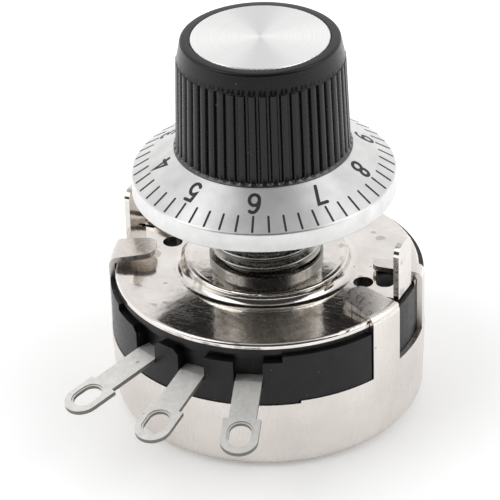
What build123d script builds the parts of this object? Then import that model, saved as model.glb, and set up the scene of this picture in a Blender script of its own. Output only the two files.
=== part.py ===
"""Panel-mounting rotary potentiometer with a ribbed knob and a numbered dial skirt.

The frame's origin is the centre of the can's flat rear face. +Z runs up the shaft, and the
solder terminals point towards -Y. All sizes are in millimetres and all angles in degrees.
"""

import os
from math import cos, radians, sin

from build123d import *

# ---------------------------------------------------------------- driving dimensions
can_radius = 14.3  # outside of the can's wall
can_foot_radius = 14.1  # the drawn can is a little narrower at its closed end
can_corner = 1.2  # outer radius between the floor and the wall
can_sheet = 0.5
plate_top = 12.8  # front face of the front plate above the rear face
plate_sheet = 0.5
plate_radius = 13.75

window_floor = 6.8  # lower edge of the two openings in the can's wall
window_step = 0.25  # the front opening's edge is this much higher past the step
window_step_angle = 305.7
pillar_front_angle = 25.2  # each pillar of wall reaches this far in front of the lug axis
pillar_rear_angle = 17.5  # and this far behind it
slot_half_angle = 11.0  # slot in the middle of each pillar, below the locating lug
slot_floor = 7.4
tongue_inner_radius = {0: 9.75, 180: 10.1}  # how far in each pillar's tongues reach
tongue_rise = {0: 0.0, 180: 0.4}  # the left pillar's tongues are folded clear of the plate
front_tongue_half_width = 1.5
rear_tongue_half_width = 0.8
front_tongue_corner = 1.1
rear_tongue_corner = 0.6
tongue_lift = 0.35  # spring-back at a tongue's free end

boss_radius = 7.46
boss_rim = 13.92  # crest of the boss's coined rim
boss_floor = 13.6  # sunk face inside the rim, where the bushing sits
boss_rim_width = 0.4
boss_rim_slope = 0.4
bushing_thread_radius = 4.95  # M10 x 1
bushing_collar_radius = 5.15
bushing_top = 22.4
shaft_radius = 3.0
shaft_top = 33.6
running_clearance = 0.04  # radial, between the shaft and the bushing's bore

lug_width = 3.0
lug_height = 5.2  # above the plate
lug_face_radius = 13.45

terminal_centre_angle = 265.8
terminal_pitch_angle = 21.4
terminal_sheet = 0.4
terminal_top = 9.15
terminal_width = 2.4
terminal_bend = 14.0  # distance of the bend from the shaft axis
terminal_reach = {"terminal_left": 9.1, "terminal_centre": 8.65, "terminal_right": 8.5}  # from bend to tip
terminal_droop = 12.0
eyelet_width = 3.3
eyelet_length = 4.05

knob_top = 35.6
knob_flange_seat = 25.05  # where the knob's flange rests on the dial
knob_flange_radius = 7.94
dial_radius = 11.82
dial_bottom = 20.9
dial_shoulder = 22.66  # top edge of the dial's outer band
dial_zero_angle = 73.2  # where the dial's zero stands at rest

board_top = terminal_top - terminal_sheet
board_bottom = 7.0
fit_gap = 0.05  # radial play between pieces that are assembled loosely
rivet_gap = 0.02  # radial play between pieces that are pressed or riveted
overlap = 0.5  # cutting tools run past the faces that they cut by this much


def polar(radius, angle):
    """Point at a radius and an angle about the shaft."""
    return (radius * cos(radians(angle)), radius * sin(radians(angle)))


def sector(radius, start, end):
    """Pie slice from the shaft axis, for a sketch on a level plane."""
    with BuildSketch() as pie:
        with BuildLine():
            Line((0, 0), polar(radius, start))
            CenterArc((0, 0), radius, start, end - start)
            Line(polar(radius, end), (0, 0))
        make_face()
    return pie.sketch


def upright_edges_within(builder, radius):
    """Straight edges parallel to the shaft that stand closer to it than a radius."""
    upright = builder.edges().filter_by(Axis.Z)
    return [edge for edge in upright if Vector(edge.center().X, edge.center().Y).length < radius]


def radial_plane(angle):
    """Upright plane through the shaft axis: its x runs outwards and its y runs up."""
    return Plane(origin=(0, 0, 0), x_dir=(*polar(1, angle), 0), z_dir=(*polar(1, angle - 90), 0))


def finish(builder, label):
    """Label a finished piece and write its file."""
    builder.part.label = label
    export_step(builder.part, f"parts/{label}.step")


os.makedirs("parts", exist_ok=True)

pillar_spans = {
    0: (-pillar_front_angle, pillar_rear_angle),
    180: (180 - pillar_rear_angle, 180 + pillar_front_angle),
}
rear_window = (pillar_rear_angle, 180 - pillar_rear_angle)
front_window = (180 + pillar_front_angle, 360 - pillar_front_angle)
terminal_angles = {
    "terminal_left": terminal_centre_angle - terminal_pitch_angle,
    "terminal_centre": terminal_centre_angle,
    "terminal_right": terminal_centre_angle + terminal_pitch_angle,
}

# ---------------------------------------------------------------- rear can
# Drawn steel cup. Two pillars of its wall stand up past the openings, and each pillar ends in
# two tongues folded in over the front plate, one on each side of the locating lug.
can_bore = can_radius - can_sheet
wall_straight = 5.5  # above here the wall is upright
pillar_foot = window_floor + window_step
fold_outer_radius = 0.8
fold_inner_radius = fold_outer_radius - can_sheet

tongue_tip = tongue_inner_radius[0]


def strip(edge_angle, tip_half_width):
    """Outline of one strip of wall between a slot and a pillar's edge, tapering to its tongue."""
    half_angle = (edge_angle - slot_half_angle) / 2
    edge = polar(can_radius, half_angle)
    taper = (edge[1] - tip_half_width) / (edge[0] - tongue_tip)
    outer = can_radius + 2 * overlap
    inner = tongue_tip - 2 * overlap
    outer_half_width = edge[1] + taper * (outer - edge[0])
    with BuildSketch() as outline:
        Polygon(
            (outer, -outer_half_width),
            (outer, outer_half_width),
            (inner, tip_half_width),
            (inner, -tip_half_width),
            align=None,
        )
    return outline.sketch


front_strip = strip(pillar_front_angle, front_tongue_half_width)
rear_strip = strip(pillar_rear_angle, rear_tongue_half_width)
front_strip_angle = (pillar_front_angle + slot_half_angle) / 2
rear_strip_angle = (pillar_rear_angle + slot_half_angle) / 2

with BuildPart() as rear_cup:
    with BuildSketch(Plane.XZ):
        with BuildLine():
            foot = (can_foot_radius, 0)
            inner_foot = (can_foot_radius - can_sheet, can_sheet)
            Polyline(
                (0, 0),
                foot,
                (can_radius, wall_straight),
                (can_radius, pillar_foot),
                (can_bore, pillar_foot),
                (can_bore, wall_straight),
                inner_foot,
                (0, can_sheet),
                close=True,
            )
        make_face()
        fillet(vertices().sort_by_distance(foot)[:1], can_corner)
        fillet(vertices().sort_by_distance(inner_foot)[:1], can_corner - can_sheet)
    revolve(axis=Axis.Z)
    for pillar, (start, end) in pillar_spans.items():
        tongue_end = tongue_inner_radius[pillar]
        lip_under = plate_top + tongue_rise[pillar]
        lip_top = lip_under + can_sheet
        with BuildSketch(radial_plane(start)):
            with BuildLine():
                wall_high = (can_radius, lip_top - fold_outer_radius)
                outer_lip = (can_radius - fold_outer_radius, lip_top)
                inner_lip = (can_bore - fold_inner_radius, lip_under)
                bore_high = (can_bore, lip_under - fold_inner_radius)
                Polyline(bore_high, (can_bore, pillar_foot), (can_radius, pillar_foot), wall_high)
                RadiusArc(wall_high, outer_lip, -fold_outer_radius)
                Polyline(
                    outer_lip,
                    (tongue_end, lip_top + tongue_lift),
                    (tongue_end, lip_under + tongue_lift),
                    inner_lip,
                )
                RadiusArc(inner_lip, bore_high, fold_inner_radius)
            make_face()
        revolve(axis=Axis.Z, revolution_arc=end - start)
    with BuildSketch(Plane.XY.offset(window_floor)):
        add(sector(can_radius + overlap, *rear_window))
        add(sector(can_radius + overlap, front_window[0], window_step_angle))
        Circle(tongue_tip, mode=Mode.SUBTRACT)
    extrude(amount=window_step, mode=Mode.SUBTRACT)
    with BuildSketch(Plane.XY.offset(slot_floor)):
        Circle(can_radius + overlap)
        Circle(tongue_tip - overlap, mode=Mode.SUBTRACT)
        for outline, angle in ((front_strip, front_strip_angle), (rear_strip, -rear_strip_angle)):
            add(outline, rotation=-angle, mode=Mode.SUBTRACT)
            add(outline, rotation=180 + angle, mode=Mode.SUBTRACT)
    extrude(amount=plate_top, mode=Mode.SUBTRACT)
    tip_edges = upright_edges_within(rear_cup, tongue_tip + overlap)
    fillet([edge for edge in tip_edges if edge.center().Y < 0], front_tongue_corner)
    tip_edges = upright_edges_within(rear_cup, tongue_tip + overlap)
    fillet([edge for edge in tip_edges if edge.center().Y > 0], rear_tongue_corner)
finish(rear_cup, "rear_cup")

# ---------------------------------------------------------------- front plate
# Pressed from one sheet: a disc with a raised boss, two round holes, a lanced notch whose tang
# is bent down, and two ears bent up at the rim as locating lugs.
plate_under = plate_top - plate_sheet
lug_inner_face = lug_face_radius - plate_sheet
lug_relief_width = 3.8
hole_distance = 9.45
hole_radius = 0.9
bushing_neck_radius = 4.98
notch_place = Location((10.81, -0.34, 0), (0, 0, 22))  # its lower inner corner, and its slant
notch_size = (1.6, 3.7)
notch_corner = 0.7
plate_edge_round = 0.3
boss_foot_round = 0.85
boss_rim_round = 0.2
lug_foot = 0.5  # length of plate inboard of the lug's inner face that belongs to its root
lug_bend_round = 0.45
lug_corner = 0.95
lug_relief_depth = 0.8  # how far the relief beside a lug runs in from its inner face
tang_width = 1.1
tang_bottom = 11.3
tang_sink = 0.15  # the tang's bend sits this far below the plate's face
tang_inset = 0.15  # from the notch's inner side
tang_centre = (tang_width / 2 + tang_inset, notch_size[1])  # in the notch's own frame

with BuildPart() as front_plate:
    with BuildSketch(Plane.XZ):
        with BuildLine():
            Polyline(
                (plate_radius, plate_under),
                (plate_radius, plate_top),
                (boss_radius, plate_top),
                (boss_radius, boss_rim),
                (boss_radius - boss_rim_width, boss_rim),
                (boss_radius - boss_rim_width - boss_rim_slope, boss_floor),
                (bushing_neck_radius, boss_floor),
                (bushing_neck_radius, boss_floor - plate_sheet),
                (boss_radius - plate_sheet, boss_floor - plate_sheet),
                (boss_radius - plate_sheet, plate_under),
                close=True,
            )
        make_face()
        fillet(vertices().sort_by_distance((plate_radius, plate_top))[:1], plate_edge_round)
        fillet(vertices().sort_by_distance((boss_radius, plate_top))[:1], boss_foot_round)
        fillet(vertices().sort_by_distance((boss_radius, boss_rim))[:1], boss_rim_round)
    revolve(axis=Axis.Z)
    with BuildSketch(Plane.XY.offset(plate_under)):
        with Locations((plate_radius, 0), (-plate_radius, 0)):
            Rectangle(2 * (plate_radius - lug_inner_face + lug_relief_depth), lug_relief_width)
        with Locations((hole_distance, 0), (-hole_distance, 0)):
            Circle(hole_radius)
    extrude(amount=plate_sheet, mode=Mode.SUBTRACT)
    with BuildSketch(Plane.XZ):
        with BuildLine():
            Polyline(
                (lug_inner_face - lug_relief_depth - lug_foot, plate_under),
                (lug_face_radius, plate_under),
                (lug_face_radius, plate_top + lug_height),
                (lug_inner_face, plate_top + lug_height),
                (lug_inner_face, plate_top),
                (lug_inner_face - lug_relief_depth - lug_foot, plate_top),
                close=True,
            )
        make_face()
        fillet(vertices().sort_by_distance((lug_face_radius, plate_under))[:1], lug_bend_round)
        mirror(about=Plane.YZ)
    extrude(amount=lug_width / 2, both=True)
    fillet(edges().filter_by(Axis.X).group_by(Axis.Z)[-1], lug_corner)
    with BuildSketch(Plane.XY.offset(plate_under)) as notch:
        with Locations(notch_place):
            Rectangle(*notch_size, align=(Align.MIN, Align.MIN))
        fillet(notch.vertices(), notch_corner)
    extrude(amount=plate_sheet, mode=Mode.SUBTRACT)
    with BuildSketch(Plane.XY.offset(tang_bottom)):
        with Locations(notch_place):
            with Locations(tang_centre):
                Rectangle(tang_width, plate_sheet)
    extrude(amount=plate_top - tang_sink - tang_bottom)
finish(front_plate, "front_plate")

# ---------------------------------------------------------------- bushing
# Turned brass bushing, staked into the boss: thread above, bearing below.
stake_radius = 6.2
stake_height = 0.6
stake_bottom = boss_floor - plate_sheet - stake_height
bushing_bottom = 11.0
bushing_foot_radius = 4.6
undercut_bottom = 14.15
thread_start = 14.4
undercut_depth = 0.6
lead_in = 0.5  # chamfer at each end of the thread
bushing_bore = shaft_radius + running_clearance

with BuildPart() as bushing:
    with BuildSketch(Plane.XZ):
        with BuildLine():
            Polyline(
                (bushing_bore, bushing_bottom),
                (bushing_foot_radius, bushing_bottom),
                (bushing_foot_radius, stake_bottom),
                (stake_radius, stake_bottom),
                (stake_radius, boss_floor - plate_sheet),
                (bushing_neck_radius, boss_floor - plate_sheet),
                (bushing_neck_radius, boss_floor),
                (bushing_collar_radius, boss_floor),
                (bushing_collar_radius, undercut_bottom),
                (bushing_thread_radius - undercut_depth, undercut_bottom),
                (bushing_thread_radius - undercut_depth, thread_start - undercut_depth / 4),
                (bushing_thread_radius, thread_start),
                (bushing_thread_radius, bushing_top - lead_in),
                (bushing_thread_radius - lead_in, bushing_top),
                (bushing_bore, bushing_top),
                close=True,
            )
        make_face()
    revolve(axis=Axis.Z)
finish(bushing, "bushing")

# ---------------------------------------------------------------- phenolic base
# Black moulding held between the can and the front plate. Its pads fill the can's two openings,
# the front pad is slotted for the terminals, and a block under it stops the rotor.
base_bottom = 6.0
base_inside_can = can_bore - fit_gap
pad_radius = 14.2
pad_top = 11.75
rear_pad_top = 12.2
pad_bottom = window_floor + window_step + fit_gap
pad_foot = window_floor + fit_gap  # where the openings are deeper
pad_gap_angle = 0.7  # between a pad's end and the pillar beside it
recess_radius = 11.7
recess_ceiling = 9.6
base_centre_hole = 6.3
slot_width = 2.6
slot_bottom = board_top - fit_gap
slot_back = 12.9
groove_floor = 11.15  # top of the blocks beside the slots, under a groove
groove_back = 13.4
groove_span = (225.0, 299.5)
block_chamfer = 0.5
slot_chamfers = {
    "terminal_left": (block_chamfer, block_chamfer),
    "terminal_centre": (block_chamfer, 0),
    "terminal_right": (0, 0),
}
stop_inner_radius = 8.7
stop_outer_radius = 13.5
stop_bottom = 2.4
stop_half_angle = 18.0
stop_centre_angle = terminal_centre_angle
tang_pocket = (2.2, 1.2)
tang_pocket_floor = tang_bottom - 0.2

with BuildPart() as phenolic_base:
    with BuildSketch(Plane.XY.offset(base_bottom)):
        Circle(base_inside_can)
    extrude(amount=plate_under - base_bottom)
    with BuildSketch(Plane.XY.offset(pad_bottom)):
        for start, end in (rear_window, front_window):
            add(sector(pad_radius, start + pad_gap_angle, end - pad_gap_angle))
    extrude(amount=pad_top - pad_bottom)
    with BuildSketch(Plane.XY.offset(pad_foot)):
        for start, end in (rear_window, (front_window[0], window_step_angle)):
            add(sector(pad_radius, start + pad_gap_angle, end - pad_gap_angle))
    extrude(amount=pad_bottom - pad_foot)
    with BuildSketch(Plane.XY.offset(pad_top)):
        add(sector(pad_radius, rear_window[0] + pad_gap_angle, rear_window[1] - pad_gap_angle))
    extrude(amount=rear_pad_top - pad_top)
    with BuildSketch(Plane.XY.offset(base_bottom)):
        Circle(recess_radius)
    extrude(amount=recess_ceiling - base_bottom, mode=Mode.SUBTRACT)
    with BuildSketch(Plane.XY.offset(recess_ceiling)):
        Circle(base_centre_hole)
    extrude(amount=plate_under - recess_ceiling, mode=Mode.SUBTRACT)
    with BuildSketch(Plane.XY.offset(plate_under)):
        with Locations(notch_place):
            with Locations(tang_centre):
                Rectangle(*tang_pocket)
    extrude(amount=tang_pocket_floor - plate_under, mode=Mode.SUBTRACT)
    with BuildSketch(Plane.XY.offset(groove_floor)):
        add(sector(can_radius, *groove_span))
        Circle(groove_back, mode=Mode.SUBTRACT)
    extrude(amount=pad_top - groove_floor, mode=Mode.SUBTRACT)
    for name, angle in terminal_angles.items():
        left_chamfer, right_chamfer = slot_chamfers[name]
        across = (*polar(1, angle + 90), 0)
        slot_plane = Plane(origin=(*polar(slot_back, angle), 0), x_dir=across, z_dir=(*polar(1, angle), 0))
        slot_outline = [
            (-slot_width / 2, slot_bottom),
            (slot_width / 2, slot_bottom),
            (slot_width / 2, groove_floor - right_chamfer),
            (slot_width / 2 + right_chamfer, groove_floor),
            (-slot_width / 2 - left_chamfer, groove_floor),
            (-slot_width / 2, groove_floor - left_chamfer),
        ]
        with BuildSketch(slot_plane):
            with BuildLine():
                Polyline(*dict.fromkeys(slot_outline), close=True)
            make_face()
        extrude(amount=can_radius - slot_back, mode=Mode.SUBTRACT)
    with BuildSketch(Plane.XY.offset(board_top)):
        for angle in terminal_angles.values():
            with Locations(Location((0, 0, 0), (0, 0, angle))):
                with Locations((recess_radius - overlap, 0)):
                    strip_passage = (can_radius - recess_radius, terminal_width + 2 * fit_gap)
                    Rectangle(*strip_passage, align=(Align.MIN, Align.CENTER))
    extrude(amount=terminal_sheet + fit_gap, mode=Mode.SUBTRACT)
    with BuildSketch(Plane.XY.offset(stop_bottom)):
        stop_start = stop_centre_angle - stop_half_angle
        add(sector(stop_outer_radius, stop_start, stop_start + 2 * stop_half_angle))
        Circle(stop_inner_radius, mode=Mode.SUBTRACT)
    extrude(amount=base_bottom - stop_bottom)
finish(phenolic_base, "phenolic_base")

# ---------------------------------------------------------------- element board and its contacts
rivet_radius = 0.8
rivet_head_radius = 1.15
rivet_head_height = 0.4
track_rivet_distance = 9.6
collector_rivet_distance = 5.5
track_sheet = 0.1
track_inner_radius = 8.4
track_outer_radius = 10.8
collector_sheet = 0.25
collector_inner_radius = 4.2
collector_outer_radius = 6.8
end_pad_half_angle = 8.0
board_centre_hole = 3.6

rivet_distances = {
    "terminal_left": track_rivet_distance,
    "terminal_centre": collector_rivet_distance,
    "terminal_right": track_rivet_distance,
}
rivet_points = {name: polar(rivet_distances[name], angle) for name, angle in terminal_angles.items()}

with BuildPart() as element_board:
    with BuildSketch(Plane.XY.offset(board_bottom)):
        Circle(recess_radius - fit_gap)
        Circle(board_centre_hole, mode=Mode.SUBTRACT)
        with Locations(*rivet_points.values()):
            Circle(rivet_radius + rivet_gap, mode=Mode.SUBTRACT)
    extrude(amount=board_top - board_bottom)
finish(element_board, "element_board")

right_angle = terminal_angles["terminal_right"]
left_angle = terminal_angles["terminal_left"]

with BuildPart() as resistive_track:
    with BuildSketch(Plane.XY.offset(board_bottom)):
        track_start = right_angle + end_pad_half_angle
        track_end = left_angle + 360 - end_pad_half_angle
        add(sector(track_outer_radius, track_start, track_end))
        Circle(track_inner_radius, mode=Mode.SUBTRACT)
    extrude(amount=-track_sheet)
finish(resistive_track, "resistive_track")

with BuildPart() as track_end_pads:
    with BuildSketch(Plane.XY.offset(board_bottom)):
        for angle in (left_angle, right_angle):
            add(sector(track_outer_radius, angle - end_pad_half_angle, angle + end_pad_half_angle))
        Circle(track_inner_radius, mode=Mode.SUBTRACT)
        with Locations(rivet_points["terminal_left"], rivet_points["terminal_right"]):
            Circle(rivet_radius + rivet_gap, mode=Mode.SUBTRACT)
    extrude(amount=-track_sheet)
finish(track_end_pads, "track_end_pads")

with BuildPart() as collector_ring:
    with BuildSketch(Plane.XY.offset(board_bottom)):
        Circle(collector_outer_radius)
        Circle(collector_inner_radius, mode=Mode.SUBTRACT)
        with Locations(rivet_points["terminal_centre"]):
            Circle(rivet_radius + rivet_gap, mode=Mode.SUBTRACT)
    extrude(amount=-collector_sheet)
finish(collector_ring, "collector_ring")

with BuildPart() as terminal_rivets:
    for name, point in rivet_points.items():
        shank_foot = board_bottom - (collector_sheet if name == "terminal_centre" else track_sheet)
        with BuildSketch(Plane.XY.offset(shank_foot)):
            with Locations(point):
                Circle(rivet_radius)
        extrude(amount=terminal_top - shank_foot)
        with BuildSketch(Plane.XY.offset(terminal_top)):
            with Locations(point):
                Circle(rivet_head_radius)
        extrude(amount=rivet_head_height)
finish(terminal_rivets, "terminal_rivets")

# ---------------------------------------------------------------- solder terminals
# A flat strip lies on the board, leaves through its slot, and droops to an eyelet at its tip.
strip_tail = 1.3  # strip beyond the rivet, towards the shaft
eyelet_radius = eyelet_width / 2
solder_hole = (2.7, 1.9)
solder_hole_from_tip = 2.2
coined_margin = 0.35
coined_depth = 0.08

for name, angle in terminal_angles.items():
    strip_start = rivet_distances[name] - strip_tail
    outward = Vector(*polar(cos(radians(terminal_droop)), angle), -sin(radians(terminal_droop)))
    normal = Vector(*polar(sin(radians(terminal_droop)), angle), cos(radians(terminal_droop)))
    blade_plane = Plane(origin=(*polar(terminal_bend, angle), terminal_top), x_dir=outward, z_dir=normal)
    reach = terminal_reach[name]
    hole_centre = (reach - solder_hole_from_tip, 0)
    with BuildPart() as terminal:
        with BuildSketch(Plane.XY.offset(board_top)):
            with Locations(Location((0, 0, 0), (0, 0, angle))):
                with Locations((strip_start, 0)):
                    Rectangle(terminal_bend - strip_start, terminal_width, align=(Align.MIN, Align.CENTER))
            with Locations(rivet_points[name]):
                Circle(rivet_radius + rivet_gap, mode=Mode.SUBTRACT)
        extrude(amount=terminal_sheet)
        with BuildSketch(blade_plane):
            Rectangle(reach - eyelet_length, terminal_width, align=(Align.MIN, Align.CENTER))
            with Locations((reach - eyelet_length, 0)):
                straight_side = eyelet_length - eyelet_radius
                Rectangle(straight_side, eyelet_width, align=(Align.MIN, Align.CENTER))
            with Locations((reach - eyelet_radius, 0)):
                Circle(eyelet_radius)
            with Locations(hole_centre):
                SlotOverall(*solder_hole, mode=Mode.SUBTRACT)
        extrude(amount=-terminal_sheet)
        with BuildSketch(blade_plane):
            with Locations(hole_centre):
                SlotOverall(solder_hole[0] + coined_margin, solder_hole[1] + coined_margin)
        extrude(amount=-coined_depth, mode=Mode.SUBTRACT)
    finish(terminal, name)

# ---------------------------------------------------------------- insulating disc
insulator_radius = 12.6
insulator_sheet = 0.3

with BuildPart() as insulating_disc:
    with BuildSketch(Plane.XY.offset(can_sheet)):
        Circle(insulator_radius)
    extrude(amount=insulator_sheet)
finish(insulating_disc, "insulating_disc")

# ---------------------------------------------------------------- shaft
peened_head_radius = 2.9
peened_head_bottom = 1.7
shaft_neck_radius = 2.2
carrier_bottom = 2.2
carrier_top = 4.6
groove_radius = 2.4
groove_bottom = 9.86
groove_top = 10.44
shaft_chamfer = 0.4

with BuildPart() as shaft:
    with BuildSketch(Plane.XZ):
        with BuildLine():
            Polyline(
                (0, peened_head_bottom),
                (peened_head_radius, peened_head_bottom),
                (peened_head_radius, carrier_bottom),
                (shaft_neck_radius, carrier_bottom),
                (shaft_neck_radius, carrier_top),
                (shaft_radius, carrier_top),
                (shaft_radius, groove_bottom),
                (groove_radius, groove_bottom),
                (groove_radius, groove_top),
                (shaft_radius, groove_top),
                (shaft_radius, shaft_top - shaft_chamfer),
                (shaft_radius - shaft_chamfer, shaft_top),
                (0, shaft_top),
                close=True,
            )
        make_face()
    revolve(axis=Axis.Z)
finish(shaft, "shaft")

# ---------------------------------------------------------------- washer and clip under the bushing
washer_radius = 4.7
washer_span = (10.46, 10.92)
clip_radius = 4.5
clip_span = (9.9, 10.4)
clip_mouth = 3.8

with BuildPart() as thrust_washer:
    with BuildSketch(Plane.XY.offset(washer_span[0])):
        Circle(washer_radius)
        Circle(shaft_radius + fit_gap, mode=Mode.SUBTRACT)
    extrude(amount=washer_span[1] - washer_span[0])
finish(thrust_washer, "thrust_washer")

with BuildPart() as retaining_ring:
    with BuildSketch(Plane.XY.offset(clip_span[0])):
        Circle(clip_radius)
        Circle(groove_radius + rivet_gap, mode=Mode.SUBTRACT)
        Rectangle(2 * clip_radius, clip_mouth, align=(Align.MIN, Align.CENTER), mode=Mode.SUBTRACT)
    extrude(amount=clip_span[1] - clip_span[0])
finish(retaining_ring, "retaining_ring")

# ---------------------------------------------------------------- rotor inside the can
# Seen from the knob, the arm at rest can turn anticlockwise_travel before it meets the stop.
anticlockwise_travel = 17.0
arm_half_angle = 11.5
arm_stop_play = 0.5  # left between the arm and the stop at each end of the travel
arm_radius = 11.3
carrier_radius = 8.0
arm_angle = stop_centre_angle - stop_half_angle - arm_half_angle - arm_stop_play - anticlockwise_travel
spring_sheet = 0.3
spring_width = 2.0
spring_hub_radius = 4.6
brush_radius = 0.9
brush_gap = 0.03  # under the track and the collector ring
spring_reach = 0.8  # spring beyond a brush's centre
arm_root = (3.4, carrier_top)
track_arm_bend = 6.0  # where each arm leaves the carrier
collector_arm_bend = 4.0
arm_level = 0.95  # each arm is level for this far inside its brush's centre
track_arm_height = 5.7
collector_arm_height = 5.5
track_arm_route = [
    arm_root,
    (track_arm_bend, carrier_top),
    (track_rivet_distance - arm_level, track_arm_height),
    (track_rivet_distance + spring_reach, track_arm_height),
]
collector_arm_route = [
    arm_root,
    (collector_arm_bend, carrier_top),
    (collector_rivet_distance - arm_level, collector_arm_height),
    (collector_rivet_distance + spring_reach, collector_arm_height),
]

with BuildPart() as rotor_carrier:
    with BuildSketch(Plane.XY.offset(carrier_bottom)):
        Circle(carrier_radius)
        add(sector(arm_radius, arm_angle - arm_half_angle, arm_angle + arm_half_angle))
        Circle(shaft_neck_radius + rivet_gap, mode=Mode.SUBTRACT)
    extrude(amount=carrier_top - carrier_bottom)
finish(rotor_carrier, "rotor_carrier")

with BuildPart() as wiper_spring:
    for angle, route in ((arm_angle, track_arm_route), (arm_angle + 180, collector_arm_route)):
        upper_side = [(x, y + spring_sheet) for x, y in reversed(route)]
        with BuildSketch(radial_plane(angle)):
            with BuildLine():
                Polyline(*route, *upper_side, close=True)
            make_face()
        extrude(amount=spring_width / 2, both=True)
    with BuildSketch(Plane.XY.offset(carrier_top)):
        Circle(spring_hub_radius)
    extrude(amount=spring_sheet)
    with BuildSketch(Plane.XY.offset(carrier_top)):
        Circle(shaft_radius + fit_gap)
    extrude(amount=collector_arm_height, mode=Mode.SUBTRACT)
finish(wiper_spring, "wiper_spring")

brushes = {
    "wiper_brush": (track_rivet_distance, arm_angle, track_arm_route, board_bottom - track_sheet),
    "collector_brush": (
        collector_rivet_distance,
        arm_angle + 180,
        collector_arm_route,
        board_bottom - collector_sheet,
    ),
}
for name, (distance, angle, route, contact_height) in brushes.items():
    brush_foot = route[-1][1] + spring_sheet
    with BuildPart() as brush:
        with BuildSketch(Plane.XY.offset(brush_foot)):
            with Locations(polar(distance, angle)):
                Circle(brush_radius)
        extrude(amount=contact_height - brush_gap - brush_foot)
    finish(brush, name)

# ---------------------------------------------------------------- knob
spigot_radius = 6.38
spigot_bottom = 23.6
flange_sheet = 0.25
rib_foot_radius = 7.68
rib_head_radius = 7.45
rib_top = 33.7
knob_rim_radius = 7.04
knob_rim = 35.55
knob_rim_round = 0.25
flange_to_rib = 0.1
cap_radius = 6.1
cap_sheet = 0.5
cap_edge_round = 0.1
insert_radius = 4.8
insert_bottom = 22.9
insert_top = 33.9
screw_height = 28.5
screw_radius = 1.5
screw_clearance = 0.1
screw_outer_end = 7.0
screw_socket = 0.75  # half the hexagon's width across its flats
screw_plane = Plane(
    origin=(0, 0, screw_height), x_dir=(0, 0, 1), z_dir=(*polar(1, dial_zero_angle), 0)
)

with BuildPart() as knob_body:
    with BuildSketch(Plane.XZ):
        with BuildLine():
            Polyline(
                (insert_radius, spigot_bottom),
                (spigot_radius, spigot_bottom),
                (spigot_radius, knob_flange_seat),
                (knob_flange_radius, knob_flange_seat),
                (knob_flange_radius, knob_flange_seat + flange_sheet),
                (rib_foot_radius, knob_flange_seat + flange_sheet + flange_to_rib),
                (rib_head_radius, rib_top),
                (knob_rim_radius, knob_rim - knob_rim_round),
                (knob_rim_radius - knob_rim_round, knob_rim),
                (cap_radius + fit_gap, knob_rim),
                (cap_radius + fit_gap, knob_top - cap_sheet),
                (0, knob_top - cap_sheet),
                (0, insert_top),
                (insert_radius, insert_top),
                close=True,
            )
        make_face()
    revolve(axis=Axis.Z)
    with BuildSketch(screw_plane):
        Circle(screw_radius + screw_clearance)
    extrude(amount=can_radius, mode=Mode.SUBTRACT)
finish(knob_body, "knob_body")

with BuildPart() as knob_insert:
    with BuildSketch(Plane.XY.offset(insert_bottom)):
        Circle(insert_radius - rivet_gap)
        Circle(shaft_radius + rivet_gap, mode=Mode.SUBTRACT)
    extrude(amount=insert_top - rivet_gap - insert_bottom)
    with BuildSketch(screw_plane):
        Circle(screw_radius + rivet_gap)
    extrude(amount=can_radius, mode=Mode.SUBTRACT)
finish(knob_insert, "knob_insert")

with BuildPart() as set_screw:
    with BuildSketch(screw_plane.offset(shaft_radius + rivet_gap)):
        Circle(screw_radius)
    extrude(amount=screw_outer_end - shaft_radius - rivet_gap)
    with BuildSketch(screw_plane.offset(screw_outer_end)):
        RegularPolygon(screw_socket, 6, major_radius=False)
    extrude(amount=-2 * screw_socket, mode=Mode.SUBTRACT)
finish(set_screw, "set_screw")

with BuildPart() as knob_cap_disc:
    with BuildSketch(Plane.XY.offset(knob_top - cap_sheet)):
        Circle(cap_radius)
    extrude(amount=cap_sheet)
    fillet(edges().group_by(Axis.Z)[-1], cap_edge_round)
finish(knob_cap_disc, "knob_cap_disc")

# ---------------------------------------------------------------- dial
dial_hub_radius = spigot_radius + rivet_gap
dial_sheet = 0.9
dial_hub_height = 1.0
dial_cone_start = knob_flange_radius + rivet_gap
dial_band_draft = 0.07
dial_inner_step = 0.6
dial_inner_start = 0.4
dial_shoulder_round = 0.25
dial_edge_round = 0.15

with BuildPart() as dial_plate:
    with BuildSketch(Plane.XZ):
        with BuildLine():
            Polyline(
                (dial_hub_radius, knob_flange_seat - dial_hub_height),
                (dial_hub_radius, knob_flange_seat),
                (dial_cone_start, knob_flange_seat),
                (dial_radius - dial_band_draft, dial_shoulder),
                (dial_radius, dial_bottom),
                (dial_radius - dial_sheet, dial_bottom),
                (dial_radius - dial_sheet, dial_shoulder - dial_inner_step),
                (dial_cone_start - dial_inner_start, knob_flange_seat - dial_hub_height),
                close=True,
            )
        make_face()
        fillet(vertices().sort_by_distance((dial_radius, dial_shoulder))[:1], dial_shoulder_round)
        fillet(vertices().sort_by_distance((dial_radius, dial_bottom))[:1], dial_edge_round)
    revolve(axis=Axis.Z)
finish(dial_plate, "dial_plate")

# ---------------------------------------------------------------- dial backing
# Black moulded ring behind the dial, pressed on the knob's spigot.
backing_top = knob_flange_seat - dial_hub_height - fit_gap
backing_bottom = 21.4
backing_sheet = 0.9
backing_radius = dial_radius - dial_sheet - fit_gap
backing_shoulder = dial_shoulder - dial_inner_step - fit_gap
backing_cone_start = dial_cone_start - dial_inner_start - fit_gap
backing_rim_width = 0.45

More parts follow.
